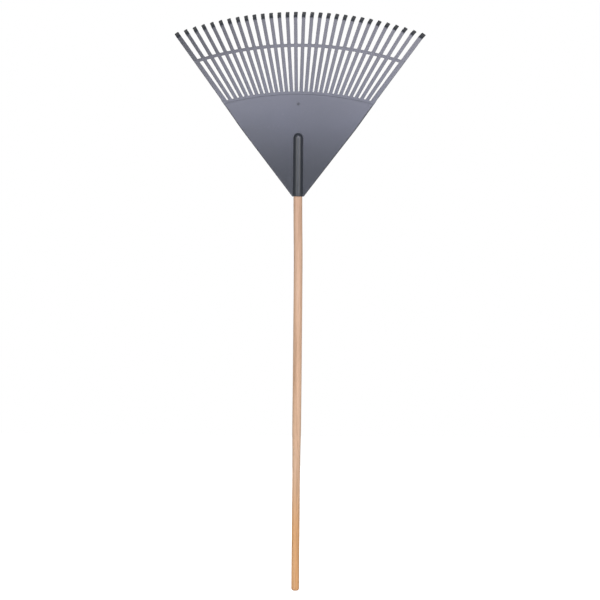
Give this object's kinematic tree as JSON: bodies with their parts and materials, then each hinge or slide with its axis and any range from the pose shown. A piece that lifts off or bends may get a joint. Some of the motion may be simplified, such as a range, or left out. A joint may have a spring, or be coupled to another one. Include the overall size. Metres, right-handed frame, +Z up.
{
  "type": "leaf rake",
  "caption": "Wide fan leaf rake with a one-piece plastic head, hooked flexing tines tied by a curved crossbar, and a long round wooden handle.",
  "frame": {"origin": "centre of the small flat on the rounded butt end of the handle", "axes": "+Z up the handle towards the head, -Y the front with the socket ridge, +Y the side the hooked tine ends point to, +X to the right seen from the front"},
  "size_m": [0.7746, 0.0934, 1.7726],
  "materials": {
    "head_plastic": "satin moulded polypropylene, dark slate grey",
    "handle_wood": "sanded pale hardwood with a thin clear lacquer",
    "screw_steel": "zinc-plated steel"
  },
  "bodies": {
    "rake": {"handle": "handle_wood", "socket_screw": "screw_steel", "handle_socket": "head_plastic", "fan_plate": "head_plastic", "side_rim_left": "head_plastic", "side_rim_right": "head_plastic", "back_stiffeners": "head_plastic", "crossbar": "head_plastic", "inner_tines_left": "head_plastic", "inner_tines_right": "head_plastic"},
    "tine_01_end": {"tine_01": "head_plastic"},
    "tine_02_end": {"tine_02": "head_plastic"},
    "tine_03_end": {"tine_03": "head_plastic"},
    "tine_04_end": {"tine_04": "head_plastic"},
    "tine_05_end": {"tine_05": "head_plastic"},
    "tine_06_end": {"tine_06": "head_plastic"},
    "tine_07_end": {"tine_07": "head_plastic"},
    "tine_08_end": {"tine_08": "head_plastic"},
    "tine_09_end": {"tine_09": "head_plastic"},
    "tine_10_end": {"tine_10": "head_plastic"},
    "tine_11_end": {"tine_11": "head_plastic"},
    "tine_12_end": {"tine_12": "head_plastic"},
    "tine_13_end": {"tine_13": "head_plastic"},
    "tine_14_end": {"tine_14": "head_plastic"},
    "tine_15_end": {"tine_15": "head_plastic"},
    "tine_16_end": {"tine_16": "head_plastic"},
    "tine_17_end": {"tine_17": "head_plastic"},
    "tine_18_end": {"tine_18": "head_plastic"},
    "tine_19_end": {"tine_19": "head_plastic"},
    "tine_20_end": {"tine_20": "head_plastic"},
    "tine_21_end": {"tine_21": "head_plastic"},
    "tine_22_end": {"tine_22": "head_plastic"},
    "tine_23_end": {"tine_23": "head_plastic"},
    "tine_24_end": {"tine_24": "head_plastic"},
    "tine_25_end": {"tine_25": "head_plastic"},
    "tine_26_end": {"tine_26": "head_plastic"},
    "tine_27_end": {"tine_27": "head_plastic"},
    "tine_28_end": {"tine_28": "head_plastic"},
    "tine_29_end": {"tine_29": "head_plastic"},
    "tine_30_end": {"tine_30": "head_plastic"}
  },
  "joints": [
    {"name": "tine_01_flex", "type": "hinge", "parent": "rake", "child": "tine_01_end", "pos_m": [-0.32231, 0.03065, 1.62463], "axis": [0.809, 0, 0.5878], "range_deg": [-6, 20], "stiffness_Nm_per_rad": 2},
    {"name": "tine_02_flex", "type": "hinge", "parent": "rake", "child": "tine_02_end", "pos_m": [-0.29842, 0.03057, 1.63157], "axis": [0.8337, 0, 0.5522], "range_deg": [-6, 20], "stiffness_Nm_per_rad": 2},
    {"name": "tine_03_flex", "type": "hinge", "parent": "rake", "child": "tine_03_end", "pos_m": [-0.27509, 0.03056, 1.63821], "axis": [0.8569, 0, 0.5156], "range_deg": [-6, 20], "stiffness_Nm_per_rad": 2},
    {"name": "tine_04_flex", "type": "hinge", "parent": "rake", "child": "tine_04_end", "pos_m": [-0.25203, 0.03055, 1.64419], "axis": [0.8784, 0, 0.478], "range_deg": [-6, 20], "stiffness_Nm_per_rad": 2},
    {"name": "tine_05_flex", "type": "hinge", "parent": "rake", "child": "tine_05_end", "pos_m": [-0.22923, 0.03054, 1.64955], "axis": [0.8983, 0, 0.4395], "range_deg": [-6, 20], "stiffness_Nm_per_rad": 2},
    {"name": "tine_06_flex", "type": "hinge", "parent": "rake", "child": "tine_06_end", "pos_m": [-0.20665, 0.03052, 1.65432], "axis": [0.9165, 0, 0.4001], "range_deg": [-6, 20], "stiffness_Nm_per_rad": 2},
    {"name": "tine_07_flex", "type": "hinge", "parent": "rake", "child": "tine_07_end", "pos_m": [-0.18429, 0.03051, 1.65852], "axis": [0.9329, 0, 0.3601], "range_deg": [-6, 20], "stiffness_Nm_per_rad": 2},
    {"name": "tine_08_flex", "type": "hinge", "parent": "rake", "child": "tine_08_end", "pos_m": [-0.16213, 0.0305, 1.66218], "axis": [0.9477, 0, 0.3193], "range_deg": [-6, 20], "stiffness_Nm_per_rad": 2},
    {"name": "tine_09_flex", "type": "hinge", "parent": "rake", "child": "tine_09_end", "pos_m": [-0.14014, 0.03048, 1.66532], "axis": [0.9606, 0, 0.278], "range_deg": [-6, 20], "stiffness_Nm_per_rad": 2},
    {"name": "tine_10_flex", "type": "hinge", "parent": "rake", "child": "tine_10_end", "pos_m": [-0.1183, 0.03047, 1.66796], "axis": [0.9717, 0, 0.2361], "range_deg": [-6, 20], "stiffness_Nm_per_rad": 2},
    {"name": "tine_11_flex", "type": "hinge", "parent": "rake", "child": "tine_11_end", "pos_m": [-0.0966, 0.03045, 1.67012], "axis": [0.981, 0, 0.1938], "range_deg": [-6, 20], "stiffness_Nm_per_rad": 2},
    {"name": "tine_12_flex", "type": "hinge", "parent": "rake", "child": "tine_12_end", "pos_m": [-0.07501, 0.03043, 1.6718], "axis": [0.9885, 0, 0.1511], "range_deg": [-6, 20], "stiffness_Nm_per_rad": 2},
    {"name": "tine_13_flex", "type": "hinge", "parent": "rake", "child": "tine_13_end", "pos_m": [-0.05351, 0.03042, 1.67302], "axis": [0.9941, 0, 0.1081], "range_deg": [-6, 20], "stiffness_Nm_per_rad": 2},
    {"name": "tine_14_flex", "type": "hinge", "parent": "rake", "child": "tine_14_end", "pos_m": [-0.03208, 0.0304, 1.67379], "axis": [0.9979, 0, 0.065], "range_deg": [-6, 20], "stiffness_Nm_per_rad": 2},
    {"name": "tine_15_flex", "type": "hinge", "parent": "rake", "child": "tine_15_end", "pos_m": [-0.01069, 0.03038, 1.67411], "axis": [0.9998, 0, 0.0217], "range_deg": [-6, 20], "stiffness_Nm_per_rad": 2},
    {"name": "tine_16_flex", "type": "hinge", "parent": "rake", "child": "tine_16_end", "pos_m": [0.01069, 0.03038, 1.67411], "axis": [0.9998, 0, -0.0217], "range_deg": [-6, 20], "stiffness_Nm_per_rad": 2},
    {"name": "tine_17_flex", "type": "hinge", "parent": "rake", "child": "tine_17_end", "pos_m": [0.03208, 0.0304, 1.67379], "axis": [0.9979, 0, -0.065], "range_deg": [-6, 20], "stiffness_Nm_per_rad": 2},
    {"name": "tine_18_flex", "type": "hinge", "parent": "rake", "child": "tine_18_end", "pos_m": [0.05351, 0.03042, 1.67302], "axis": [0.9941, 0, -0.1081], "range_deg": [-6, 20], "stiffness_Nm_per_rad": 2},
    {"name": "tine_19_flex", "type": "hinge", "parent": "rake", "child": "tine_19_end", "pos_m": [0.07501, 0.03043, 1.6718], "axis": [0.9885, 0, -0.1511], "range_deg": [-6, 20], "stiffness_Nm_per_rad": 2},
    {"name": "tine_20_flex", "type": "hinge", "parent": "rake", "child": "tine_20_end", "pos_m": [0.0966, 0.03045, 1.67012], "axis": [0.981, 0, -0.1938], "range_deg": [-6, 20], "stiffness_Nm_per_rad": 2},
    {"name": "tine_21_flex", "type": "hinge", "parent": "rake", "child": "tine_21_end", "pos_m": [0.1183, 0.03047, 1.66796], "axis": [0.9717, 0, -0.2361], "range_deg": [-6, 20], "stiffness_Nm_per_rad": 2},
    {"name": "tine_22_flex", "type": "hinge", "parent": "rake", "child": "tine_22_end", "pos_m": [0.14014, 0.03048, 1.66532], "axis": [0.9606, 0, -0.278], "range_deg": [-6, 20], "stiffness_Nm_per_rad": 2},
    {"name": "tine_23_flex", "type": "hinge", "parent": "rake", "child": "tine_23_end", "pos_m": [0.16213, 0.0305, 1.66218], "axis": [0.9477, 0, -0.3193], "range_deg": [-6, 20], "stiffness_Nm_per_rad": 2},
    {"name": "tine_24_flex", "type": "hinge", "parent": "rake", "child": "tine_24_end", "pos_m": [0.18429, 0.03051, 1.65852], "axis": [0.9329, 0, -0.3601], "range_deg": [-6, 20], "stiffness_Nm_per_rad": 2},
    {"name": "tine_25_flex", "type": "hinge", "parent": "rake", "child": "tine_25_end", "pos_m": [0.20665, 0.03052, 1.65432], "axis": [0.9165, 0, -0.4001], "range_deg": [-6, 20], "stiffness_Nm_per_rad": 2},
    {"name": "tine_26_flex", "type": "hinge", "parent": "rake", "child": "tine_26_end", "pos_m": [0.22923, 0.03054, 1.64955], "axis": [0.8983, 0, -0.4395], "range_deg": [-6, 20], "stiffness_Nm_per_rad": 2},
    {"name": "tine_27_flex", "type": "hinge", "parent": "rake", "child": "tine_27_end", "pos_m": [0.25203, 0.03055, 1.64419], "axis": [0.8784, 0, -0.478], "range_deg": [-6, 20], "stiffness_Nm_per_rad": 2},
    {"name": "tine_28_flex", "type": "hinge", "parent": "rake", "child": "tine_28_end", "pos_m": [0.27509, 0.03056, 1.63821], "axis": [0.8569, 0, -0.5156], "range_deg": [-6, 20], "stiffness_Nm_per_rad": 2},
    {"name": "tine_29_flex", "type": "hinge", "parent": "rake", "child": "tine_29_end", "pos_m": [0.29842, 0.03057, 1.63157], "axis": [0.8337, 0, -0.5522], "range_deg": [-6, 20], "stiffness_Nm_per_rad": 2},
    {"name": "tine_30_flex", "type": "hinge", "parent": "rake", "child": "tine_30_end", "pos_m": [0.32231, 0.03065, 1.62463], "axis": [0.809, 0, -0.5878], "range_deg": [-6, 20], "stiffness_Nm_per_rad": 2}
  ]
}
